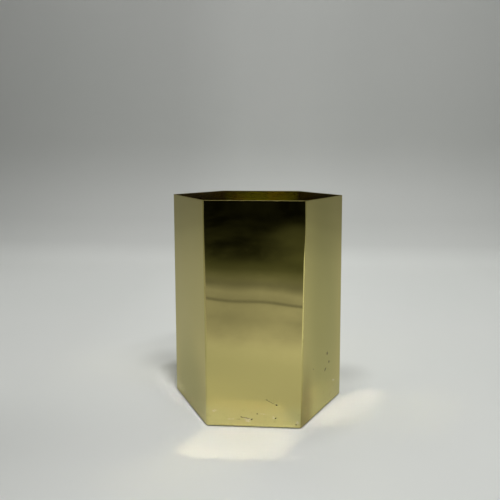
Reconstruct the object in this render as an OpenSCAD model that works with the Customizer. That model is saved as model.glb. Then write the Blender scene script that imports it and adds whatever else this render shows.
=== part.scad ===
// Hexagonal sheet-brass vessel, open at the top.
// Two folded half shells meet at the left and right corners. Each seam is backed by a folded
// strap inside the corner and soldered. A shallow pan closes the bottom and stands on six pads.
// +Z is up and the front panel faces -Y. Corners lie on the X axis, and Z = 0 is under the pads.

/* [Body] */
// Length of one side of the hexagon, outside, between sharp corners
side_length = 100; // [70:1:150]
// Height of the sheet walls
wall_height = 239; // [120:1:320]
// Thickness of the wall sheet
sheet_t = 1.2; // [0.8:0.1:1.4]
// Outside radius of the folded corners
bend_r = 3; // [3:0.5:6]

/* [Seams] */
// Width of the soldered gap between the half shells
seam_gap = 0.3; // [0.2:0.1:0.6]
// Length of each leg of the strap behind a seam
strap_leg = 12; // [8:1:15]
// Thickness of the strap
strap_t = 0.9; // [0.5:0.1:1]
// Distance from the rim down to the strap's top end
strap_drop = 15; // [10:1:40]
// Distance from the base solder up to the strap's lower end
strap_gap = 1; // [0.5:0.5:5]
// Leg of every solder fillet
solder_leg = 0.9; // [0.5:0.1:1]

/* [Base] */
// Thickness of the base pan's sheet
pan_t = 1.2; // [0.8:0.1:1.4]
// Height of the pan, from under its floor to the top of its turned-up flange
pan_height = 10; // [6:1:15]
// Distance from the walls' lower edge up to the pan
base_recess = 2; // [1:0.5:4]

/* [Pads] */
// Diameter of a pad
pad_d = 14; // [8:1:20]
// How far the pads hold the walls off the table
pad_proud = 1; // [1:0.5:2]
// Distance from a sharp corner of the hexagon to the pad's centre
pad_inset = 22; // [16:1:30]
// Chamfer round a pad's lower edge
pad_chamfer = 0.5; // [0.2:0.1:0.8]

/* [Hidden] */

BRASS = [0.80, 0.75, 0.45];
OLD_BRASS = [0.66, 0.60, 0.36];
SOLDER = [0.62, 0.61, 0.58];
RUBBER = [0.13, 0.13, 0.12];

// Directions, in degrees from +X: corners at multiples of 60, panels halfway between them.
SIDES = 6;
TURN = 360 / SIDES;
RIGHT = 0;
LEFT = 180;
BEND_STEPS = 12;

$fn = 64;

// The centres of the six corner bends lie this far from the axis.
bend_centre_r = side_length - bend_r / cos(TURN / 2);

// Radii of each sheet's faces about the bend centres.
wall_inside_r = bend_r - sheet_t;
strap_inside_r = wall_inside_r - strap_t;
pan_inside_r = wall_inside_r - pan_t;

// Heights.
wall_z = pad_proud;
rim_z = wall_z + wall_height;
pan_z = wall_z + base_recess;
flange_z = pan_z + pan_height;
strap_z = flange_z + solder_leg + strap_gap;
strap_height = rim_z - strap_drop - strap_z;

function polar(r, angle) = r * [cos(angle), sin(angle)];

function reversed(points) = [for (i = [len(points) - 1 : -1 : 0]) points[i]];

// Points round one corner at radius r about its bend centre, turning from one angle to the other.
function bend(corner, r, from = -TURN / 2, to = TURN / 2) = [
    for (i = [0 : BEND_STEPS])
        polar(bend_centre_r, corner) + polar(r, corner + from + (to - from) * i / BEND_STEPS)
];

// Rounded hexagon whose corners have radius r.
function hexagon(r) = [for (i = [0 : SIDES - 1]) each bend(TURN * i, r)];

// Point on the panel next to a corner, at a distance along it from where the bend ends.
// hand is 1 for the panel anticlockwise of the corner and -1 for the other.
function on_panel(corner, hand, r, along) =
    polar(bend_centre_r, corner)
    + polar(r, corner + hand * TURN / 2)
    + polar(along, corner + hand * (TURN / 2 + 90));

// Three panels from one seam to the other, centred on the angle facing, at radius r.
function half_hexagon(facing, r) = concat(
    bend(facing - 1.5 * TURN, r, 0, TURN / 2),
    bend(facing - 0.5 * TURN, r),
    bend(facing + 0.5 * TURN, r),
    bend(facing + 1.5 * TURN, r, -TURN / 2, 0)
);

// One corner and a leg on each side of it, at radius r.
function corner_strip(corner, r) = concat(
    [on_panel(corner, -1, r, strap_leg)],
    bend(corner, r),
    [on_panel(corner, 1, r, strap_leg)]
);

// Solid between two heights whose outline is the band between an outer and an inner path.
module band(outer, inner, z, height) {
    translate([0, 0, z])
        linear_extrude(height)
            polygon(concat(outer, reversed(inner)));
}

module prism(r, z, height) {
    translate([0, 0, z])
        linear_extrude(height)
            polygon(hexagon(r));
}

// Thin upright slab through both seams.
module seam_slab() {
    translate([-side_length * 1.5, -seam_gap / 2, 0])
        cube([side_length * 3, seam_gap, rim_z * 1.5]);
}

module half_shell(facing) {
    color(BRASS)
        difference() {
            band(half_hexagon(facing, bend_r), half_hexagon(facing, wall_inside_r), wall_z, wall_height);
            seam_slab();
        }
}

module front_shell() {
    half_shell(-90);
}

module rear_shell() {
    half_shell(90);
}

module seam_strap(corner) {
    color(OLD_BRASS)
        band(
            corner_strip(corner, wall_inside_r),
            corner_strip(corner, strap_inside_r),
            strap_z,
            strap_height
        );
}

module left_seam_strap() {
    seam_strap(LEFT);
}

module right_seam_strap() {
    seam_strap(RIGHT);
}

// Fillet of solder down the long edge of one leg of a strap.
module strap_fillet(corner, hand) {
    translate([0, 0, strap_z])
        linear_extrude(strap_height)
            polygon([
                on_panel(corner, hand, wall_inside_r, strap_leg),
                on_panel(corner, hand, wall_inside_r, strap_leg + solder_leg),
                on_panel(corner, hand, strap_inside_r, strap_leg)
            ]);
}

// Solder that fills the gap between the half shells, with a fillet along each strap leg.
module seam_solder(corner) {
    color(SOLDER) {
        intersection() {
            band(bend(corner, bend_r), bend(corner, wall_inside_r), wall_z, wall_height);
            seam_slab();
        }
        for (hand = [-1, 1])
            strap_fillet(corner, hand);
    }
}

module left_seam_solder() {
    seam_solder(LEFT);
}

module right_seam_solder() {
    seam_solder(RIGHT);
}

// Flat floor with a flange turned up against the walls.
module base_pan() {
    color(OLD_BRASS)
        difference() {
            prism(wall_inside_r, pan_z, pan_height);
            prism(pan_inside_r, pan_z + pan_t, pan_height);
        }
}

// Fillet on top of the pan's flange, against the walls.
module base_solder() {
    sliver = 0.01;
    color(SOLDER)
        difference() {
            prism(wall_inside_r, flange_z, solder_leg);
            hull() {
                prism(wall_inside_r - solder_leg, flange_z - sliver, sliver);
                prism(wall_inside_r, flange_z + solder_leg, sliver);
            }
        }
}

module pad() {
    rotate_extrude()
        polygon([
            [0, 0],
            [pad_d / 2 - pad_chamfer, 0],
            [pad_d / 2, pad_chamfer],
            [pad_d / 2, pan_z],
            [0, pan_z]
        ]);
}

module base_pads() {
    color(RUBBER)
        for (i = [0 : SIDES - 1])
            rotate([0, 0, TURN * i])
                translate([side_length - pad_inset, 0, 0])
                    pad();
}

front_shell();
rear_shell();
left_seam_strap();
right_seam_strap();
left_seam_solder();
right_seam_solder();
base_pan();
base_solder();
base_pads();
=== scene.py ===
"""Looks of the open hexagonal brass vessel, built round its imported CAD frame.

The folded shells, straps, solder and pads are replaced by detailed meshes, and the base pan is the
CAD node with a material of its own. A plain pale studio stands round the vessel.
"""

import math

import bpy
from mathutils import Matrix, Vector, noise


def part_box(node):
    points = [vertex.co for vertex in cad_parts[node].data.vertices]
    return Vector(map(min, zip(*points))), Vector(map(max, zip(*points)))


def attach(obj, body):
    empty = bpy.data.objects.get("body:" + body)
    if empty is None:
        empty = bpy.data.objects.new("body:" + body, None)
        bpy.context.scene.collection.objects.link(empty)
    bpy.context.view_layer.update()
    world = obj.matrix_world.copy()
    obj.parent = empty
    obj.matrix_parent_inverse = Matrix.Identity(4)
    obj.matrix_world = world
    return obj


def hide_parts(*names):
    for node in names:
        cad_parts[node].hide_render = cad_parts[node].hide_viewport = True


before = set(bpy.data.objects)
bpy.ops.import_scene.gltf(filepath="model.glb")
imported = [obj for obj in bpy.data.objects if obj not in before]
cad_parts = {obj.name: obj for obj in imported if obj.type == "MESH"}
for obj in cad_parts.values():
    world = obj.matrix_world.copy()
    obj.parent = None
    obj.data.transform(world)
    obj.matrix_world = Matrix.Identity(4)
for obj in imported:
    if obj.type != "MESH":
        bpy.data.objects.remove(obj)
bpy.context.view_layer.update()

# ---------------------------------------------------------------- sizes, metres

SHEET = 0.0012
BEND_R = 0.003
STRAP_SHEET = 0.0009
STRAP_LEG = 0.012
SEAM_GAP = 0.0003
SOLDER_LEG = 0.0009
PAD_R = 0.007
EDGE_R = 0.0002
PAN_EDGE_R = 0.0003

SIDES = 6
TURN = math.radians(360 / SIDES)
FRONT, REAR = math.radians(-90), math.radians(90)
LEFT, RIGHT = math.radians(180), 0.0

shell_low, shell_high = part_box("front_shell")
strap_low, strap_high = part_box("left_seam_strap")
bead_low, bead_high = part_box("base_solder")
pad_low, pad_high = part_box("base_pads")

WALL_Z, RIM_Z = shell_low.z, shell_high.z
APOTHEM = -shell_low.y
SIDE = APOTHEM / math.cos(TURN / 2)
BEND_CENTRE = SIDE - BEND_R / math.cos(TURN / 2)
WALL_IN_R = BEND_R - SHEET
STRAP_IN_R = WALL_IN_R - STRAP_SHEET


# ---------------------------------------------------------------- node trees


class Tree:
    """A material's node tree, with short calls to add nodes and link them."""

    def __init__(self, name):
        self.material = bpy.data.materials.new(name)
        self.material.use_nodes = True
        self.nodes = self.material.node_tree.nodes
        self.links = self.material.node_tree.links
        self.shader = self.nodes["Principled BSDF"]

    def put(self, socket, value):
        """Links a socket to another node's output, or sets its value."""
        if isinstance(value, bpy.types.NodeSocket):
            self.links.new(value, socket)
        else:
            socket.default_value = value

    def add(self, kind, inputs, **settings):
        made = self.nodes.new("ShaderNode" + kind)
        for key, value in settings.items():
            setattr(made, key, value)
        for key, value in inputs.items():
            self.put(made.inputs[key], value)
        return made

    def surface(self, **values):
        """Sets the main shader's inputs, with underscores for spaces."""
        for key, value in values.items():
            self.put(self.shader.inputs[key.replace("_", " ")], value)

    def position(self):
        return self.add("TexCoord", {}).outputs["Object"]

    def axis(self, vector, letter):
        return self.add("SeparateXYZ", {"Vector": vector}).outputs[letter]

    def scaled(self, vector, scale):
        return self.add("VectorMath", {0: vector, 1: scale}, operation="MULTIPLY").outputs[0]

    def length(self, vector):
        return self.add("VectorMath", {0: vector}, operation="LENGTH").outputs["Value"]

    def noise(self, vector, scale, detail=3.0, rough=0.5):
        inputs = {"Vector": vector, "Scale": scale, "Detail": detail, "Roughness": rough}
        return self.add("TexNoise", inputs).outputs["Fac"]

    def grain(self, vector, scales, detail=3.0, rough=0.5):
        """Noise with a scale of its own along each axis."""
        return self.noise(self.scaled(vector, scales), 1.0, detail, rough)

    def math(self, operation, a, b=0.0, clamp=False):
        return self.add("Math", {0: a, 1: b}, operation=operation, use_clamp=clamp).outputs[0]

    def times(self, a, b):
        return self.math("MULTIPLY", a, b)

    def plus(self, a, b, clamp=False):
        return self.math("ADD", a, b, clamp)

    def remap(self, value, low, high, to_low=0.0, to_high=1.0, smooth=True):
        """Takes low to to_low and high to to_high, with a soft or a straight run between."""
        kind = "SMOOTHSTEP" if smooth else "LINEAR"
        inputs = {"Value": value, "From Min": low, "From Max": high}
        inputs |= {"To Min": to_low, "To Max": to_high}
        return self.add("MapRange", inputs, interpolation_type=kind).outputs["Result"]

    def mix(self, share, a, b):
        """Colour a where share is 0 and colour b where it is 1."""
        made = self.add("Mix", {}, data_type="RGBA")
        for socket, value in ((0, share), (6, a), (7, b)):
            self.put(made.inputs[socket], value)
        return made.outputs[2]

    def bump(self, height, distance, normal=None):
        inputs = {"Height": height, "Distance": distance, "Strength": 1.0}
        if normal is not None:
            inputs["Normal"] = normal
        return self.add("Bump", inputs).outputs["Normal"]

    def ramp(self, value, stops):
        """Ramp through (place, grey) stops."""
        made = self.add("ValToRGB", {"Fac": value})
        points = made.color_ramp.elements
        while len(points) < len(stops):
            points.new(0.5)
        for point, (place, grey) in zip(points, stops):
            point.position = place
            point.color = (grey, grey, grey, 1)
        return made.outputs["Color"]


# ---------------------------------------------------------------- materials

BRASS = (0.59, 0.515, 0.195, 1)
PALE_BRASS = (0.59, 0.545, 0.235, 1)
DARKER_PATCH_BRASS = (0.465, 0.42, 0.15, 1)
# Colour of the painted shade low on the right-front panel.
PAINTED_SHADE_BRASS = (0.36, 0.31, 0.105, 1)
STAINED_BRASS = (0.30, 0.23, 0.085, 1)
SCUFFED_BRASS = (0.82, 0.76, 0.56, 1)
GRIME = (0.045, 0.035, 0.018, 1)
METAL_EDGE_TINT = (0.74, 0.74, 0.74, 1)

INSIDE_BRASS = (0.55, 0.49, 0.14, 1)
# Painted light and shade in the inside's rim band: lit, lit warm patches, shaded beside seams.
LIT_RIM_BRASS = (0.62, 0.59, 0.08, 1)
WARM_LIT_RIM_BRASS = (0.70, 0.53, 0.08, 1)
SHADED_RIM_BRASS = (0.22, 0.16, 0.06, 1)

CUT_BRASS = (0.30, 0.26, 0.10, 1)
RUBBED_BRASS = (0.22, 0.18, 0.07, 1)
WORN_EDGE_TINT = (0.30, 0.28, 0.20, 1)
DULL_BRASS = (0.50, 0.42, 0.17, 1)
CLEAN_SOLDER = (0.55, 0.54, 0.51, 1)
DULL_SOLDER = (0.33, 0.32, 0.29, 1)
BLACK_RUBBER = (0.018, 0.018, 0.018, 1)
DUST = (0.10, 0.095, 0.085, 1)

# Wear and patches on the outside: panel direction in degrees, place along the panel and height
# above the walls' lower edge, half length and half height, tilt in degrees. Lengths are in
# millimetres.
SCUFFS = [
    (-90, -6.5, 8.8, 6.5, 1.5, -6),
    (-90, -6.0, 6.4, 4.2, 1.9, -8),
    (-90, 20.9, 10.6, 1.9, 1.5, 10),
    (-90, -24.0, 8.0, 5.5, 0.5, 2),
    (-90, 46.0, 6.0, 1.8, 2.6, 20),
    (-90, -41.6, 17.0, 3.6, 1.6, 10),
    (-90, 20.8, 11.6, 1.6, 1.2, 0),
    (-90, 10.5, 14.6, 8.0, 0.35, 0),
    (-30, 30.0, 24.0, 5.0, 1.6, -20),
    (210, -18.0, 9.0, 5.5, 0.8, 0),
]
# Darker patches: all over the right-front panel, low on the left-front panel, and on the
# rear-right.
DARKER_PATCHES = [
    (-30, 4.0, 120.0, 62.0, 200.0, 0),
    (210, 0.0, 20.0, 60.0, 90.0, 0),
    (30, -10.0, 60.0, 55.0, 110.0, 0),
]
# Painted shade low on the right-front panel, by its front bend, for the shadow it mirrors.
PAINTED_SHADE_PATCH = [
    (-30, -42.0, 8.0, 26.0, 80.0, 0),
]
MARKS = [
    (-90, -8.0, 9.6, 5.2, 0.5, -8),
    (-90, -12.6, 10.4, 1.8, 0.7, -20),
    (-90, -2.0, 8.2, 1.8, 1.1, 40),
    (-90, -16.0, 8.0, 3.2, 0.25, 0),
    (-90, 23.8, 25.0, 1.6, 1.0, -20),
    (-90, 17.2, 28.3, 7.6, 0.3, -27),
    (-90, 13.5, 30.6, 1.3, 0.6, -10),
    (-90, 23.2, 10.2, 1.3, 0.9, 35),
    (-90, 3.6, 14.6, 0.9, 0.7, 0),
    (-90, 44.5, 3.5, 1.2, 0.8, 0),
    (-30, 11.4, 62.8, 2.0, 2.6, 0),
    (-30, 16.6, 51.0, 2.0, 2.0, 20),
    (-30, 7.1, 45.2, 3.2, 1.4, 35),
    (-30, -23.8, 56.2, 1.0, 0.7, 0),
    (30, -20.0, 31.0, 2.6, 0.5, 18),
    (90, 14.0, 18.0, 1.4, 0.8, -12),
    (90, -27.0, 96.0, 5.5, 0.3, 40),
    (150, 8.0, 22.0, 1.1, 0.8, 5),
    (210, -18.0, 9.0, 3.5, 0.4, 0),
]

# How far a mark reaches through the sheet. A shallow one stays off the panel beyond the bend.
MARK_DEPTH, SHALLOW = 0.004, 0.0015

STAIN_TOP = 0.035
PALE_TOP, PALE_BELOW = 0.030, 0.010
SPECK_SPACING, SPECK_SIZE, SPECK_SHARE = 0.013, 0.0005, 0.16
RAGGED_SCALE, RAGGED_REACH = 900.0, 0.0016
SPECK_CORE = 0.6

# Scales per metre along x, y and z, for noise that runs in lines or lies in flat patches.
POLISH_LINES = (2600.0, 2600.0, 45.0)
ROLLED_LINES = (60.0, 2400.0, 2400.0)
RUNS = (160.0, 160.0, 14.0)
RIM_PATCHES = (24.0, 24.0, 60.0)

# Height of the relief in each material, in metres.
POLISH_RELIEF, WEAR_RELIEF = 1.2e-7, 2e-5
EDGE_RELIEF, ROLLED_RELIEF = 2e-6, 1.5e-6
SOLDER_RELIEF, RUBBER_RELIEF = 1.5e-4, 3e-5


def mark_mask(tree, place, mark, edge, depth):
    """1 inside an elliptical mark on the outside of a panel, fading to 0 over its edge."""
    angle, along, height, half_length, half_height, tilt = mark
    facing = math.radians(angle)
    outward = Vector((math.cos(facing), math.sin(facing), 0))
    sideways = Vector((-outward.y, outward.x, 0))
    centre = outward * APOTHEM + sideways * along / 1000
    centre.z = WALL_Z + height / 1000
    turned = tree.add(
        "Mapping",
        {
            "Vector": place,
            "Location": centre,
            "Rotation": (0, math.radians(-tilt), facing + math.radians(90)),
            "Scale": (half_length / 1000, depth, half_height / 1000),
        },
        vector_type="TEXTURE",
    ).outputs[0]
    return tree.remap(tree.length(turned), 1 - edge, 1.0, 1.0, 0.0)


def all_marks(tree, place, marks, edge, depth=MARK_DEPTH):
    total = 0.0
    for mark in marks:
        total = tree.math("MAXIMUM", mark_mask(tree, place, mark, edge, depth), total)
    return total


def ragged(tree, place, scale, reach):
    """The place moved a little by noise, for marks whose outlines aren't smooth."""
    wobble = tree.add("TexNoise", {"Vector": place, "Scale": scale, "Detail": 2.0})
    inputs = {0: wobble.outputs["Color"], 1: (0.5, 0.5, 0.5)}
    centred = tree.add("VectorMath", inputs, operation="SUBTRACT").outputs[0]
    moved = tree.scaled(centred, (reach,) * 3)
    return tree.add("VectorMath", {0: place, 1: moved}, operation="ADD").outputs[0]


def specks(tree, place, spacing, size, share):
    """Small round specks, in about this share of the cells of a grid with this spacing."""
    cells = tree.add("TexVoronoi", {"Vector": place, "Scale": 1 / spacing})
    reach = size / spacing
    near = tree.remap(cells.outputs["Distance"], reach, SPECK_CORE * reach)
    draw = tree.add("SeparateColor", {"Color": cells.outputs["Color"]}).outputs["Red"]
    return tree.times(near, tree.math("LESS_THAN", draw, share))


def outside_brass():
    """Mirror polish, with darker patches and a patch of painted shade, and with stains, scuffs
    and specks near the lower edge.
    """
    tree = Tree("polished brass, outside")
    place = tree.position()
    height = tree.axis(place, "Z")

    near_base = tree.remap(height, WALL_Z + STAIN_TOP, WALL_Z)
    bloom = tree.remap(tree.noise(place, 130.0, detail=4.0, rough=0.6), 0.55, 0.75)
    stain = tree.times(bloom, near_base)

    rough_place = ragged(tree, place, RAGGED_SCALE, RAGGED_REACH)
    flecks = tree.remap(tree.noise(place, 1500.0, rough=0.7), 0.42, 0.58)
    scuff = tree.times(all_marks(tree, rough_place, SCUFFS, 0.7), flecks)
    mark = all_marks(tree, rough_place, MARKS, 0.5)
    dots = specks(tree, place, SPECK_SPACING, SPECK_SIZE, SPECK_SHARE)
    dirt = tree.math("MAXIMUM", tree.times(mark, 0.7), tree.times(dots, near_base))

    pale = tree.remap(height, WALL_Z + PALE_TOP, WALL_Z + PALE_BELOW)
    darker_patch = all_marks(tree, place, DARKER_PATCHES, 0.7)
    painted_shade = all_marks(tree, place, PAINTED_SHADE_PATCH, 0.8, SHALLOW)
    colour = tree.mix(pale, BRASS, PALE_BRASS)
    colour = tree.mix(darker_patch, colour, DARKER_PATCH_BRASS)
    colour = tree.mix(painted_shade, colour, PAINTED_SHADE_BRASS)
    colour = tree.mix(tree.times(stain, 0.35), colour, STAINED_BRASS)
    colour = tree.mix(scuff, colour, SCUFFED_BRASS)
    colour = tree.mix(dirt, colour, GRIME)

    smudge = tree.noise(place, 16.0, detail=4.0, rough=0.6)
    smudge = tree.remap(smudge, 0.3, 0.7, 0.02, 0.04)
    haze = tree.times(tree.noise(place, 300.0, detail=2.0), 0.015)
    worn = tree.plus(tree.times(stain, 0.08), tree.times(scuff, 0.10))
    dirty = tree.plus(worn, tree.times(dirt, 0.4))
    rough = tree.plus(tree.plus(smudge, haze), dirty, clamp=True)

    lines = tree.bump(tree.grain(place, POLISH_LINES, detail=2.0), POLISH_RELIEF)
    normal = tree.bump(tree.plus(scuff, mark), WEAR_RELIEF, lines)
    tree.surface(Base_Color=colour, Metallic=1.0, Roughness=rough, Normal=normal)
    tree.surface(Specular_Tint=METAL_EDGE_TINT)
    return tree.material


INSIDE_STAIN_TOP, INSIDE_STAIN_BELOW = 0.11, 0.01
RIM_FADE_BELOW, RIM_FADE_TOP = 0.06, 0.03
SEAM_SIDE_FROM, SEAM_SIDE_TO = SIDE / 2 - 0.0028, SIDE / 2 - 0.0018

INSIDE_ROUGH, RIM_ROUGH = 0.20, 0.24

# The inside leans outwards near the rim. Its lean is a cubic in the depth below the rim.
LEAN, LEAN_SQUARE, LEAN_CUBE = 0.021, 0.835, 11.23


def inside_brass():
    """Less polished than the outside, stained low down, and eased out at the rim.

    Round the rim the colour is painted light and shade: the four panels beside the seams
    are painted darker than the other two, which are painted lit.
    """
    tree = Tree("brass, inside")
    place = tree.position()
    height = tree.axis(place, "Z")

    low = tree.remap(height, INSIDE_STAIN_TOP, INSIDE_STAIN_BELOW)
    cloud = tree.remap(tree.noise(place, 45.0, detail=5.0, rough=0.65), 0.4, 0.7)
    drips = tree.remap(tree.grain(place, RUNS), 0.62, 0.7)
    marks = tree.math("MAXIMUM", tree.times(cloud, low), tree.times(drips, low))

    # Painted reflection in the rim band: lit on the front and rear panels, shaded beside the
    # seams.
    at_rim = tree.remap(height, RIM_Z - RIM_FADE_BELOW, RIM_Z - RIM_FADE_TOP)
    aside = tree.math("ABSOLUTE", tree.axis(place, "X"))
    shaded_beside_seam = tree.remap(aside, SEAM_SIDE_FROM, SEAM_SIDE_TO)
    patches = tree.remap(tree.grain(place, RIM_PATCHES), 0.45, 0.62)
    rim = tree.mix(patches, LIT_RIM_BRASS, WARM_LIT_RIM_BRASS)
    rim = tree.mix(shaded_beside_seam, rim, SHADED_RIM_BRASS)
    colour = tree.mix(at_rim, INSIDE_BRASS, rim)
    colour = tree.mix(tree.times(marks, 0.6), colour, STAINED_BRASS)
    rough = tree.remap(at_rim, 0.0, 1.0, INSIDE_ROUGH, RIM_ROUGH)
    rough = tree.plus(rough, tree.times(marks, 0.15))

    level = tree.math("MAXIMUM", height, RIM_Z - RIM_FADE_BELOW)
    depth = tree.math("SUBTRACT", RIM_Z, level)
    lean = tree.math("SUBTRACT", LEAN_SQUARE, tree.times(depth, LEAN_CUBE))
    lean = tree.plus(LEAN, tree.times(depth, lean))
    normal = tree.bump(tree.times(depth, lean), 1.0)
    tree.surface(Base_Color=colour, Metallic=1.0, Roughness=rough, Normal=normal)
    return tree.material


def cut_edge():
    """The sheared and rubbed-down edge of the sheet."""
    tree = Tree("cut edge of the brass")
    rubbed = tree.noise(tree.position(), 700.0, rough=0.6)
    colour = tree.mix(tree.remap(rubbed, 0.45, 0.75), CUT_BRASS, RUBBED_BRASS)
    rough = tree.remap(rubbed, 0.3, 0.7, 0.4, 0.55)
    tree.surface(Base_Color=colour, Metallic=1.0, Roughness=rough)
    tree.surface(Normal=tree.bump(rubbed, EDGE_RELIEF), Specular_Tint=WORN_EDGE_TINT)
    return tree.material


def plain_brass():
    """Mill-finish sheet of the pan and the straps, dulled with age."""
    tree = Tree("plain brass")
    place = tree.position()
    cloud = tree.remap(tree.noise(place, 38.0, detail=5.0, rough=0.65), 0.35, 0.7)
    rings = tree.remap(tree.noise(place, 9.0, detail=2.0), 0.5, 0.53)
    stain = tree.times(cloud, tree.plus(tree.times(rings, 0.4), 0.5))
    rolled = tree.grain(place, ROLLED_LINES, detail=2.0)
    colour = tree.mix(stain, DULL_BRASS, STAINED_BRASS)
    rough = tree.remap(cloud, 0.0, 1.0, 0.2, 0.38)
    tree.surface(Base_Color=colour, Metallic=1.0, Roughness=rough)
    tree.surface(Normal=tree.bump(rolled, ROLLED_RELIEF))
    return tree.material


def solder_metal():
    """Dull grey soft solder with a rippled skin."""
    tree = Tree("soft solder")
    place = tree.position()
    grey = tree.noise(place, 220.0, detail=4.0, rough=0.6)
    colour = tree.mix(tree.remap(grey, 0.4, 0.7), CLEAN_SOLDER, DULL_SOLDER)
    ripple = tree.noise(place, 420.0, rough=0.6)
    rough = tree.remap(grey, 0.3, 0.7, 0.28, 0.5)
    tree.surface(Base_Color=colour, Metallic=1.0, Roughness=rough)
    tree.surface(Normal=tree.bump(ripple, SOLDER_RELIEF))
    return tree.material


def pad_rubber():
    """Matt black rubber with some dust."""
    tree = Tree("pad rubber")
    place = tree.position()
    grain = tree.noise(place, 1600.0, rough=0.6)
    dust = tree.remap(tree.noise(place, 210.0, detail=4.0, rough=0.65), 0.5, 0.75)
    colour = tree.mix(tree.times(dust, 0.5), BLACK_RUBBER, DUST)
    tree.surface(Base_Color=colour, Roughness=tree.remap(grain, 0.3, 0.7, 0.55, 0.8))
    tree.surface(Normal=tree.bump(grain, RUBBER_RELIEF))
    return tree.material


# ---------------------------------------------------------------- meshes

PANEL_STEPS = 32
BEND_STEPS = 12
INNER_BEND_STEPS = 6
LEG_STEPS = 4
BEAD_STEPS = 6
SHELL_ROWS, STRAP_ROWS, SOLDER_ROWS = 72, 40, 90

# A narrow strip of mesh beside each bend and edge keeps the panels flat-shaded up to it.
CREASE = 0.0003


def direction(angle):
    return Vector((math.cos(angle), math.sin(angle), 0))


def up(height):
    return Vector((0, 0, height))


# The open top has been knocked a little out of true. This is how far each corner stands from
# its place at the rim, anticlockwise from the right-hand seam.
RIM_SHIFT = [
    Vector((-0.0042, 0, 0)),
    Vector((0, 0, 0)),
    Vector((0, 0, 0)),
    Vector((0.0015, 0, 0)),
    Vector((-0.0011, 0, -0.0006)),
    Vector((0.0007, 0, -0.0006)),
]


def squeezed(point):
    """The point moved with the corners of its panel, more towards the rim."""
    angle = math.atan2(point.y, point.x) % math.tau
    corner = int(angle / TURN) % SIDES
    across = math.tan(angle - TURN * (corner + 0.5)) / math.tan(TURN / 2)
    shift = RIM_SHIFT[corner].lerp(RIM_SHIFT[(corner + 1) % SIDES], (1 + across) / 2)
    lift = max(point.z - bead_high.z, 0.0) / (RIM_Z - bead_high.z)
    return point + shift * lift


def new_piece(name, points, faces, materials, replaced):
    """A smooth-shaded piece on the vessel that stands for one CAD node."""
    points = [squeezed(point) for point in points]
    mesh = bpy.data.meshes.new(name)
    mesh.from_pydata([tuple(p) for p in points], [], faces)
    mesh.update()
    for material in materials:
        mesh.materials.append(material)
    mesh.shade_smooth()
    piece = bpy.data.objects.new(name, mesh)
    bpy.context.scene.collection.objects.link(piece)
    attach(piece, "root")
    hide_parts(replaced)
    return piece


def join_rings(rings, closed, capped):
    """Points and faces of a skin through closed rings of equally many points."""
    around = len(rings[0])
    points = [p for ring in rings for p in ring]
    spans = len(rings) if closed else len(rings) - 1
    faces = []
    for i in range(spans):
        here = i * around
        there = (i + 1) % len(rings) * around
        for j in range(around):
            k = (j + 1) % around
            faces.append((here + j, there + j, there + k, here + k))
    if capped:
        faces.append(tuple(range(around)))
        faces.append(tuple(reversed(range(len(points) - around, len(points)))))
    return points, faces


def merged(parts):
    """Several (points, faces) as one."""
    points, faces = [], []
    for some_points, some_faces in parts:
        start = len(points)
        points += some_points
        faces += [tuple(start + i for i in face) for face in some_faces]
    return points, faces


# A sheet's route is a list of stations: (point on the line of bend centres, outward angle).


def bend_stations(corner, start, end, steps):
    """Stations round one corner, between two angles from the corner's own direction."""
    centre = direction(corner) * BEND_CENTRE
    return [(centre, corner + start + (end - start) * i / steps) for i in range(steps + 1)]


def panel_stations(corner, next_corner):
    """Stations along one panel, with its ends left out."""
    start = direction(corner) * BEND_CENTRE
    end = direction(next_corner) * BEND_CENTRE
    facing = (corner + next_corner) / 2
    close = CREASE / BEND_CENTRE
    shares = [close, *(i / PANEL_STEPS for i in range(1, PANEL_STEPS)), 1 - close]
    return [(start.lerp(end, share), facing) for share in shares]


def shell_stations(facing):
    """Stations of a half shell from one seam to the other."""
    corners = [facing + TURN * (i - 1.5) for i in range(4)]
    half, at_seam = TURN / 2, math.asin(SEAM_GAP / 2 / BEND_R)
    route = bend_stations(corners[0], at_seam, half, BEND_STEPS // 2)
    for i in (1, 2):
        route += panel_stations(corners[i - 1], corners[i])
        route += bend_stations(corners[i], -half, half, BEND_STEPS)
    route += panel_stations(corners[2], corners[3])
    route += bend_stations(corners[3], -half, -at_seam, BEND_STEPS // 2)
    return route


def leg_stations(corner, hand):
    """Stations along one leg of a strap, from its bend outwards."""
    facing = corner + hand * TURN / 2
    away = direction(facing + hand * math.radians(90))
    start = direction(corner) * BEND_CENTRE
    steps = range(1, LEG_STEPS + 1)
    return [(start + away * STRAP_LEG * i / LEG_STEPS, facing) for i in steps]


def strap_stations(corner):
    """Stations of a strap: in along one leg, round the bend and out along the other."""
    bend = bend_stations(corner, -TURN / 2, TURN / 2, INNER_BEND_STEPS)
    return leg_stations(corner, -1)[::-1] + bend + leg_stations(corner, 1)


# Rolled sheet is never quite flat. Each shell has shallow waves, which die away towards its
# seams, its rim and its lower edge. They only go inwards.
WAVE_HEIGHT = 0.00005
WAVE_LENGTH = 0.070
WAVE_LENGTH_UP = 0.20
WAVE_CREST, REAR_CREST_SHIFT, WAVE_MIDDLE = 0.011, 0.019, 0.137
RIPPLE_HEIGHT = 0.00002
RIPPLES_ALONG, RIPPLES_UP = 31, 19
FRONT_SAMPLE, REAR_SAMPLE = 1.7, 7.3
FADE_LENGTH, FADE_HEIGHT = 0.025, 0.035


def soft_step(share):
    """0 below 0, 1 above 1 and a smooth step between."""
    t = min(max(share, 0.0), 1.0)
    return t * t * (3 - 2 * t)


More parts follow.
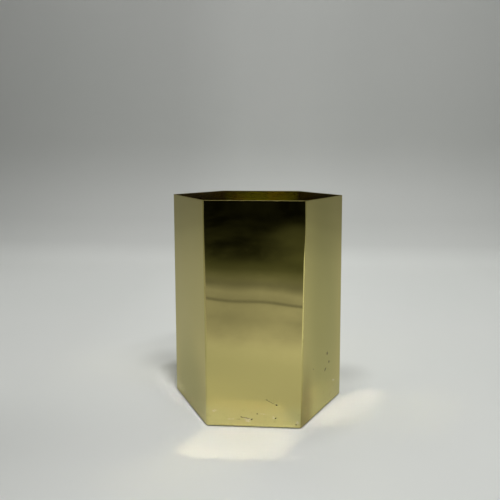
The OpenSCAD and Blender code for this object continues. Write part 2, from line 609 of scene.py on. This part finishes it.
def dips(run, rear, height):
    """How far the sheet stands in from its true face, run metres along from its middle."""
    crest = WAVE_CREST + (REAR_CREST_SHIFT if rear else 0.0)
    wave = math.cos(math.tau * (run - crest) / WAVE_LENGTH)
    wave *= math.sin(math.tau * (height - WAVE_MIDDLE) / WAVE_LENGTH_UP)
    sample = REAR_SAMPLE if rear else FRONT_SAMPLE
    ripple = noise.noise(Vector((run * RIPPLES_ALONG, sample, height * RIPPLES_UP)))
    ends = soft_step((1.5 * SIDE - abs(run)) / FADE_LENGTH)
    edges = soft_step((height - WALL_Z) / FADE_HEIGHT) * soft_step((RIM_Z - height) / FADE_HEIGHT)
    return ends * edges * (WAVE_HEIGHT * (1 - wave) + RIPPLE_HEIGHT * (1 - ripple))


EDGE_POINTS = 4


def sheet_loop(outer, inner, low, high, rows):
    """Closed section through a sheet as (radius, height): up the outside, down the inside.

    Each face has this many rows, and the upper and the lower edge have EDGE_POINTS points each.
    """
    e = EDGE_R
    knee = e * (1 - math.sqrt(0.5))
    bottom, lip = low + e, high - e
    inner_rows = [bottom + (lip - bottom) * i / (rows - 2) for i in range(1, rows - 2)]
    heights = [bottom, bottom + CREASE, *inner_rows, lip - CREASE, lip]
    outside = [(outer, z) for z in heights]
    top = [(outer - knee, high - knee), (outer - e, high)]
    top += [(inner + e, high), (inner + knee, high - knee)]
    inside = [(inner, z) for z in reversed(heights)]
    base = [(inner + knee, low + knee), (inner + e, low)]
    base += [(outer - e, low), (outer - knee, low + knee)]
    return outside + top + inside + base


def running_lengths(route, radius):
    """How far along the sheet's outer face each station is from the first."""
    runs, last = [], None
    for centre, facing in route:
        on_face = centre + direction(facing) * radius
        runs.append(runs[-1] + (on_face - last).length if runs else 0.0)
        last = on_face
    return runs


def folded_sheet(name, route, radii, heights, rows, looks, replaced, waved):
    """A folded sheet along the route. looks is the outside, edge and inside materials."""
    loop = sheet_loop(radii[0], radii[1], heights[0], heights[1], rows)
    runs = running_lengths(route, radii[0])
    rear = route[0][0].x > 0
    rings = []
    for (centre, facing), run in zip(route, runs):
        out = direction(facing)
        ring = []
        for r, z in loop:
            dip = dips(run - runs[-1] / 2, rear, z) if waved else 0.0
            ring.append(centre + out * (r - dip) + up(z))
        rings.append(ring)
    points, faces = join_rings(rings, closed=False, capped=True)
    piece = new_piece(name, points, faces, looks, replaced)
    outside_look, edge_look, inside_look = 0, 1, 2
    around, inside_from = len(loop), rows + EDGE_POINTS + 1
    for face in piece.data.polygons:
        j = face.index % around
        if len(face.vertices) > 4:
            face.material_index = edge_look
            face.use_smooth = False
        elif j < rows:
            face.material_index = outside_look
        elif inside_from <= j < inside_from + rows:
            face.material_index = inside_look
        else:
            face.material_index = edge_look
    return piece


# A fillet of solder swells along its length, bows out and is rooted in the corner.
COARSE_SWELL, COARSE_SCALE = 0.22, 130
FINE_SWELL, FINE_SCALE = 0.12, 420
BEAD_BOW = 0.18
BEAD_ROOT = 0.0002

# The solder in a seam overlaps its sides, is sunk a little outside and stands proud inside.
FILL_SPREAD = 1.15
FILL_SUNK, FILL_SUNK_MIDDLE = 0.00007, 0.00003
FILL_SWELL, FILL_SWELL_SCALE, FILL_SAMPLE = 0.00002, 160, 3.1
FILL_PROUD_INSIDE = 0.00005


def bead(route, upward, leg_in, leg_up, closed):
    """Solder fillet: at each station (corner of the fillet, direction away from the wall)."""
    rings = []
    for point, away in route:
        swell = 1 + COARSE_SWELL * noise.noise(point * COARSE_SCALE)
        swell += FINE_SWELL * noise.noise(point * FINE_SCALE)
        ring = []
        for i in range(BEAD_STEPS + 1):
            t = i / BEAD_STEPS
            bow = BEAD_BOW * math.sin(math.pi * t)
            across = away * leg_in * swell * (1 - t + bow)
            ring.append(point + across + upward * leg_up * swell * (t + bow))
        ring.append(point - away * BEAD_ROOT)
        rings.append(ring)
    return join_rings(rings, closed, capped=not closed)


def seam_fill(corner):
    """Solder in the gap between the half shells."""
    half_gap = math.asin(SEAM_GAP / 2 / BEND_R) * FILL_SPREAD
    centre = direction(corner) * BEND_CENTRE
    rings = []
    for i in range(SOLDER_ROWS + 1):
        z = WALL_Z + (RIM_Z - WALL_Z) * i / SOLDER_ROWS
        z = min(max(z, WALL_Z + EDGE_R / 2), RIM_Z - EDGE_R / 2)
        swell = FILL_SWELL * noise.noise(Vector((corner, FILL_SAMPLE, z * FILL_SWELL_SCALE)))
        side, middle = BEND_R - FILL_SUNK, BEND_R - FILL_SUNK_MIDDLE + swell
        section = [(-half_gap, side), (0, middle), (half_gap, side)]
        section += [(half_gap, WALL_IN_R), (0, WALL_IN_R - FILL_PROUD_INSIDE)]
        section += [(-half_gap, WALL_IN_R)]
        rings.append([centre + direction(corner + angle) * r + up(z) for angle, r in section])
    return join_rings(rings, closed=False, capped=True)


def strap_fillet(corner, hand):
    """Solder down the long edge of one leg of a strap."""
    facing = corner + hand * TURN / 2
    away = direction(facing + hand * math.radians(90))
    foot = direction(corner) * BEND_CENTRE + away * STRAP_LEG + direction(facing) * WALL_IN_R
    route = []
    for i in range(SOLDER_ROWS + 1):
        z = strap_low.z + (strap_high.z - strap_low.z) * i / SOLDER_ROWS
        route.append((foot + up(z), away))
    return bead(route, -direction(facing), SOLDER_LEG, STRAP_SHEET, closed=False)


def seam_solder(name, corner, look, replaced):
    parts = [seam_fill(corner), strap_fillet(corner, -1), strap_fillet(corner, 1)]
    points, faces = merged(parts)
    return new_piece(name, points, faces, [look], replaced)


def base_bead(look):
    """Solder fillet all round, where the pan's flange meets the walls."""
    stations = []
    for i in range(SIDES):
        corner = TURN * i
        stations += bend_stations(corner, -TURN / 2, TURN / 2, INNER_BEND_STEPS)
        stations += panel_stations(corner, corner + TURN)
    route = []
    for centre, facing in stations:
        out = direction(facing)
        route.append((centre + out * WALL_IN_R + up(bead_low.z), -out))
    width = bead_high.z - bead_low.z
    points, faces = bead(route, up(1), width, width, closed=True)
    return new_piece("base_bead", points, faces, [look], "base_solder")


PAD_STEPS = 40
PAD_ROUND_R, PAD_ROUND_STEPS = 0.0009, 6
PAD_TOP_EDGE = 0.0002

# The underside is slightly hollow: it touches the table towards its edge.
PAD_HOLLOW, PAD_SEAT, PAD_SEAT_SHARE = 0.0001, 0.00002, 0.6


def pad_profile():
    """(radius, height) from the middle of the underside to the middle of the top."""
    low, high = pad_low.z, pad_high.z
    under = [(0.0, low + PAD_HOLLOW), (PAD_R * PAD_SEAT_SHARE, low + PAD_SEAT)]
    edge = []
    for i in range(PAD_ROUND_STEPS + 1):
        angle = math.radians(-90 + 90 / PAD_ROUND_STEPS * i)
        r = PAD_R - PAD_ROUND_R + PAD_ROUND_R * math.cos(angle)
        edge.append((r, low + PAD_ROUND_R + PAD_ROUND_R * math.sin(angle)))
    over = [(PAD_R - PAD_TOP_EDGE, high - PAD_TOP_EDGE), (PAD_R - 2 * PAD_TOP_EDGE, high)]
    return under + edge + over + [(0.0, high)]


def pad_at(centre):
    """Points and faces of one pad: its profile turned, with a fan at each end."""
    profile = pad_profile()
    angles = [math.tau * i / PAD_STEPS for i in range(PAD_STEPS)]
    rings = []
    for r, z in profile[1:-1]:
        rings.append([centre + direction(angle) * r + up(z) for angle in angles])
    points, faces = join_rings(rings, closed=False, capped=False)
    for (_, z), ring_start in ((profile[0], 0), (profile[-1], len(points) - PAD_STEPS)):
        points.append(centre + up(z))
        tip = len(points) - 1
        for j in range(PAD_STEPS):
            pair = (ring_start + j, ring_start + (j + 1) % PAD_STEPS)
            faces.append((tip, *pair) if ring_start else (tip, *reversed(pair)))
    return points, [tuple(reversed(face)) for face in faces]


def base_pads(look):
    spread = pad_high.x - PAD_R
    parts = [pad_at(direction(TURN * i) * spread) for i in range(SIDES)]
    points, faces = merged(parts)
    return new_piece("rubber_pads", points, faces, [look], "base_pads")


def finish_pan(look):
    """The CAD pan, with its own material and its edges just broken."""
    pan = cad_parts["base_pan"]
    pan.data.materials.clear()
    pan.data.materials.append(look)
    rounding = pan.modifiers.new("rounding", "BEVEL")
    rounding.width = PAN_EDGE_R
    rounding.segments = 3
    rounding.limit_method = "ANGLE"
    rounding.angle_limit = math.radians(40)


# ---------------------------------------------------------------- the vessel

OUTSIDE, EDGE, INSIDE = outside_brass(), cut_edge(), inside_brass()
PLAIN, SOLDER, RUBBER = plain_brass(), solder_metal(), pad_rubber()

for name, facing in (("front", FRONT), ("rear", REAR)):
    folded_sheet(
        name + "_folded_shell",
        shell_stations(facing),
        (BEND_R, WALL_IN_R),
        (WALL_Z, RIM_Z),
        SHELL_ROWS,
        [OUTSIDE, EDGE, INSIDE],
        name + "_shell",
        waved=True,
    )

for name, corner in (("left", LEFT), ("right", RIGHT)):
    folded_sheet(
        name + "_folded_strap",
        strap_stations(corner),
        (WALL_IN_R, STRAP_IN_R),
        (strap_low.z, strap_high.z),
        STRAP_ROWS,
        [PLAIN, PLAIN, PLAIN],
        name + "_seam_strap",
        waved=False,
    )
    seam_solder(name + "_solder_line", corner, SOLDER, name + "_seam_solder")

base_bead(SOLDER)
base_pads(RUBBER)
finish_pan(PLAIN)


# ---------------------------------------------------------------- stage

# The studio sheet is a rectangle with round corners in plan, and curves up into walls all round.
BACK_Y, FRONT_Y, SIDE_X = 1.10, -3.0, 1.9
PLAN_R, CURVE_R = 0.7, 0.35
WALL_TOP = 1.7
CURVE_STEPS = 12

SHEET_GREY, SHEET_WHITE = (0.80, 0.82, 0.79, 1), (0.84, 0.845, 0.82, 1)

# Painted shade on the sheet: darker up the wall, by height, and out to the left and right, in
# metres, where less light falls. It is also a little darker at the near left, and painted shadow
# makes it darker just beside the vessel on the right.
WALL_SHADE = [(0.005, 1.0), (0.04, 0.82), (0.10, 0.73), (0.25, 0.66), (0.45, 0.61), (0.80, 0.57)]
SIDE_SHADE = [
    (-1.9, 0.71),
    (-1.0, 0.76),
    (-0.6, 0.85),
    (-0.3, 0.89),
    (-0.1, 1.0),
    (0.1, 1.0),
    (0.3, 0.94),
    (0.5, 0.91),
    (0.8, 0.83),
    (1.1, 0.72),
    (1.9, 0.62),
]

# Runs of painted light and shade: from and to in metres, and the shade at each. They go by
# how far back it is, by how far across at the near left, and by how far from the vessel on the
# right, where they are painted shadow.
DEPTH_SHADE = (-0.3, 0.9, 0.96, 1.07)
NEAR_LEFT_SHADE, NEAR_LEFT_FROM = (-0.25, 0.05, -0.13, 0.03), (0.0, -0.15)
BESIDE_SHADE, BESIDE_FROM = (0.142, 0.112, 0.0, 0.08), (0.03, 0.065)

# Painted shadow of the vessel, as soft grey spots on the sheet beside it: x, y and radius in
# metres, and how much darker.
PAINTED_SHADOW_SPOTS = [
    (-0.132, 0.097, 0.055, 0.22),
    (0.116, 0.064, 0.045, 0.19),
]


def cove_material():
    tree = Tree("pale studio sheet")
    place = tree.position()
    x, y, z = (tree.axis(place, letter) for letter in "XYZ")
    sheet = tree.mix(tree.noise(place, 3.0), SHEET_GREY, SHEET_WHITE)

    # Painted light and shade: the sheet's colour is darkened and lightened by place.
    aside = tree.remap(x, -SIDE_X, SIDE_X, smooth=False)
    sideways = [(0.5 + 0.5 * metres / SIDE_X, grey) for metres, grey in SIDE_SHADE]
    shade = tree.times(tree.ramp(z, WALL_SHADE), tree.ramp(aside, sideways))
    shade = tree.times(shade, tree.remap(y, *DEPTH_SHADE))
    tilt = tree.remap(x, *NEAR_LEFT_SHADE, smooth=False)
    near_left = tree.times(tilt, tree.remap(y, *NEAR_LEFT_FROM))
    shade = tree.times(shade, tree.plus(near_left, 1.0))
    # Painted shadow in a ring just beside the vessel on the right, and in the soft spots.
    beside = tree.remap(tree.length(place), *BESIDE_SHADE)
    beside = tree.times(tree.remap(x, *BESIDE_FROM), beside)
    shade = tree.times(shade, tree.math("SUBTRACT", 1.0, beside))
    for spot_x, spot_y, radius, darker in PAINTED_SHADOW_SPOTS:
        inputs = {0: place, 1: (spot_x, spot_y, 0)}
        away = tree.add("VectorMath", inputs, operation="DISTANCE").outputs["Value"]
        shade = tree.times(shade, tree.remap(away, 0.0, radius, 1 - darker, 1.0))

    tree.surface(Base_Color=tree.scaled(sheet, shade), Roughness=0.6)
    return tree.material


def rounded_plan(inset):
    """The studio's outline, drawn in by inset, as points anticlockwise."""
    r = PLAN_R - inset
    points = []
    for i, (sx, sy) in enumerate(((1, 1), (-1, 1), (-1, -1), (1, -1))):
        cx = sx * (SIDE_X - PLAN_R)
        cy = (BACK_Y if sy > 0 else FRONT_Y) - sy * PLAN_R
        for k in range(CURVE_STEPS + 1):
            angle = math.radians(90 * i + 90 / CURVE_STEPS * k)
            points.append(Vector((cx + r * math.cos(angle), cy + r * math.sin(angle), 0)))
    return points


def new_object(name, points, faces, material):
    """An object of the stage, with its mesh and material."""
    mesh = bpy.data.meshes.new(name)
    mesh.from_pydata([tuple(p) for p in points], [], faces)
    mesh.materials.append(material)
    made = bpy.data.objects.new(name, mesh)
    bpy.context.scene.collection.objects.link(made)
    return made


def studio_cove():
    """Pale floor that curves up into walls all round."""
    rings = []
    for k in range(CURVE_STEPS + 1):
        angle = math.radians(90 / CURVE_STEPS * k)
        inset, lift = CURVE_R * (1 - math.sin(angle)), CURVE_R * (1 - math.cos(angle))
        rings.append([p + up(lift) for p in rounded_plan(inset)])
    rings.append([p + up(WALL_TOP) for p in rounded_plan(0)])
    points, faces = join_rings(rings, closed=False, capped=False)
    floor = tuple(range(len(rings[0])))
    cove = new_object("studio_cove", points, faces + [floor], cove_material())
    cove.data.shade_smooth()


# How bright the room is in front of the vessel, by distance from it in metres: the near table,
# its edge, the floor beyond it and the dark of the room.
ROOM = [
    (0.245, 0.675),
    (0.30, 0.63),
    (0.365, 0.51),
    (0.44, 0.405),
    (0.50, 0.45),
    (0.54, 0.44),
    (0.546, 0.22),
    (0.556, 0.22),
    (0.565, 0.37),
    (0.62, 0.42),
    (0.64, 0.36),
    (0.655, 0.30),
    (0.69, 0.21),
    (0.75, 0.195),
    (0.86, 0.093),
    (1.0, 0.045),
    (1.2, 0.019),
    (1.6, 0.011),
    (2.0, 0.006),
]
ROOM_REACH = 2.5
ROOM_TURN = math.radians(-12.4)
ROOM_HALF_WIDTH, ROOM_HEIGHT = 1.8, 1.2
ROOM_NEAR, ROOM_LIFT = 0.12, 0.0008
BEARING_FROM = -0.03

# Borders of things in the room, each as (nothing of it, all of it): distances away, distances
# across, or bearings, which are the distance across divided by the distance away.
FAR_PART_AWAY, OLIVE_AWAY = (0.90, 1.10), (0.60, 0.95)
PATCH_AWAY, PATCH_ACROSS = (1.85, 1.45), (-0.06, 0.10)
WINDOW_AWAY, WINDOW_BEARING = (1.08, 0.98), (0.33, 0.55)
SHOWN_AWAY, SHOWN_ACROSS, SHOWN_BEARING = (0.23, 0.36), (1.75, 1.4), (1.5, 1.0)

# Soft folds of light and dark: their scale, and how strong they are near by and far off.
FOLDS = (5.0, 2.2, 2.2)
NEAR_FOLDS, MORE_FAR_FOLDS = 0.09, 0.5
PATCH_LIGHT = 0.05

# The left is a little dimmer than the right: two bearings, and the light at each.
SLANT = (-0.15, 0.08, 0.92, 1.06)

WHITE_LIGHT, OLIVE_LIGHT = (1, 1, 1, 1), (1.0, 1.06, 0.6, 1)
WINDOW_LIGHT = (0.90, 0.94, 0.92, 1)


def room_material():
    """Light from the room, by distance and bearing from the vessel, fading out at its borders."""
    tree = Tree("room in front of the table")
    place = tree.position()
    turned = tree.add("Mapping", {"Vector": place, "Rotation": (0, 0, ROOM_TURN)}).outputs[0]
    distance = tree.math("DIVIDE", tree.axis(turned, "Y"), -ROOM_REACH)
    aside = tree.axis(place, "X")
    ahead = tree.times(distance, ROOM_REACH)
    bearing = tree.math("DIVIDE", tree.plus(aside, -BEARING_FROM), ahead)

    def between(start, end):
        """0 at one distance in metres and 1 at the other."""
        return tree.remap(distance, start / ROOM_REACH, end / ROOM_REACH)

    far_part = between(*FAR_PART_AWAY)
    even = tree.ramp(distance, [(metres / ROOM_REACH, grey) for metres, grey in ROOM])
    folds = tree.remap(tree.grain(place, FOLDS, detail=5.0, rough=0.7), 0.35, 0.65, -1.0, 1.0)
    strength = tree.plus(tree.times(far_part, MORE_FAR_FOLDS), NEAR_FOLDS)
    uneven = tree.plus(tree.times(folds, strength), 1.0)
    patch = tree.times(tree.remap(aside, *PATCH_ACROSS), far_part)
    patch = tree.times(patch, between(*PATCH_AWAY))
    dim = tree.plus(tree.times(even, uneven), tree.times(patch, PATCH_LIGHT))
    dim = tree.times(dim, tree.remap(bearing, *SLANT))

    tinted = tree.scaled(tree.mix(between(*OLIVE_AWAY), WHITE_LIGHT, OLIVE_LIGHT), dim)
    window = tree.times(tree.remap(bearing, *WINDOW_BEARING), between(*WINDOW_AWAY))
    light = tree.mix(window, tinted, WINDOW_LIGHT)

    off_axis, off_middle = tree.math("ABSOLUTE", bearing), tree.math("ABSOLUTE", aside)
    shown = tree.times(between(*SHOWN_AWAY), tree.remap(off_axis, *SHOWN_BEARING))
    shown = tree.times(shown, tree.remap(off_middle, *SHOWN_ACROSS))
    glow = tree.add("Emission", {"Color": light, "Strength": 1.0})
    clear = tree.add("BsdfTransparent", {})
    blend = tree.add("MixShader", {0: shown, 1: clear.outputs[0], 2: glow.outputs[0]})
    tree.put(tree.nodes["Material Output"].inputs["Surface"], blend.outputs[0])
    return tree.material


def front_room():
    """Dim room that only polished metal mirrors: a floor from the table outwards, and a wall."""
    side = ROOM_HALF_WIDTH
    points = [
        (-side, -ROOM_NEAR, ROOM_LIFT),
        (side, -ROOM_NEAR, ROOM_LIFT),
        (side, -ROOM_REACH, ROOM_LIFT),
        (-side, -ROOM_REACH, ROOM_LIFT),
        (side, -ROOM_REACH, ROOM_HEIGHT),
        (-side, -ROOM_REACH, ROOM_HEIGHT),
    ]
    room = new_object("front_room", points, [(0, 1, 2, 3), (3, 2, 4, 5)], room_material())
    room.visible_camera = False
    room.visible_diffuse = False
    room.visible_shadow = False
    room.visible_transmission = False


WHITE, WINDOW_GREEN = (1, 1, 1), (0.93, 1.0, 0.94)
WORLD_COLOUR, WORLD_STRENGTH = (0.98, 1.0, 0.97, 1), 0.205

# Name, place, what it points at, size, watts and colour.
LAMPS = [
    ("ceiling_panel", (0.20, -0.67, 2.6), (0, 0, 0), (0.32, 0.10), 31.5, WHITE),
    ("further_panel", (0.62, -0.95, 2.0), (0, 0, 0), (0.60, 0.12), 5.5, WHITE),
    ("far_lamp", (-0.9, 0.9, 1.6), (0.05, -0.1, 0), (0.7, 0.5), 3, WHITE),
    ("side_window", (1.5, 0.5, 1.6), (0.9, 0.9, 0), (0.8, 0.8), 2, WINDOW_GREEN),
]


def area_light(name, place, target, size, watts, colour):
    data = bpy.data.lights.new(name, "AREA")
    data.shape = "RECTANGLE"
    data.size, data.size_y = size
    data.energy = watts
    data.color = colour
    lamp = bpy.data.objects.new(name, data)
    lamp.location = place
    aim = Vector(target) - Vector(place)
    lamp.rotation_euler = aim.to_track_quat("-Z", "Y").to_euler()
    bpy.context.scene.collection.objects.link(lamp)


def lights():
    for lamp in LAMPS:
        area_light(*lamp)
    world = bpy.data.worlds.new("soft room light")
    world.use_nodes = True
    background = world.node_tree.nodes["Background"]
    background.inputs["Color"].default_value = WORLD_COLOUR
    background.inputs["Strength"].default_value = WORLD_STRENGTH
    bpy.context.scene.world = world


# ---------------------------------------------------------------- camera

CAMERA_PLACE = Vector((0.02535, -0.57533, 0.27415))
CAMERA_YAW, CAMERA_PITCH, CAMERA_ROLL = 0.0604, -0.1695, -0.0019
LENS, SENSOR_WIDTH = 36, 36
NEAR_CLIP, FAR_CLIP = 0.01, 20


def camera():
    """View of the front from a little above the rim."""
    data = bpy.data.cameras.new("photo_view")
    data.lens, data.sensor_width = LENS, SENSOR_WIDTH
    data.clip_start, data.clip_end = NEAR_CLIP, FAR_CLIP
    view = bpy.data.objects.new("photo_view", data)
    tipped = Matrix.Rotation(math.radians(90) + CAMERA_PITCH, 4, "X")
    turn = Matrix.Rotation(CAMERA_YAW, 4, "Z") @ tipped
    roll = Matrix.Rotation(-CAMERA_ROLL, 4, "Z")
    view.matrix_world = Matrix.Translation(CAMERA_PLACE) @ turn @ roll
    bpy.context.scene.collection.objects.link(view)
    bpy.context.scene.camera = view


def light_paths():
    """Enough mirror bounces for the inside, and sharp patches of light thrown on the floor."""
    cycles = bpy.context.scene.cycles
    cycles.glossy_bounces = 12
    cycles.blur_glossy = 0
    cycles.sample_clamp_indirect = 0


studio_cove()
front_room()
lights()
camera()
light_paths()
bpy.context.scene.view_settings.view_transform = "Standard"
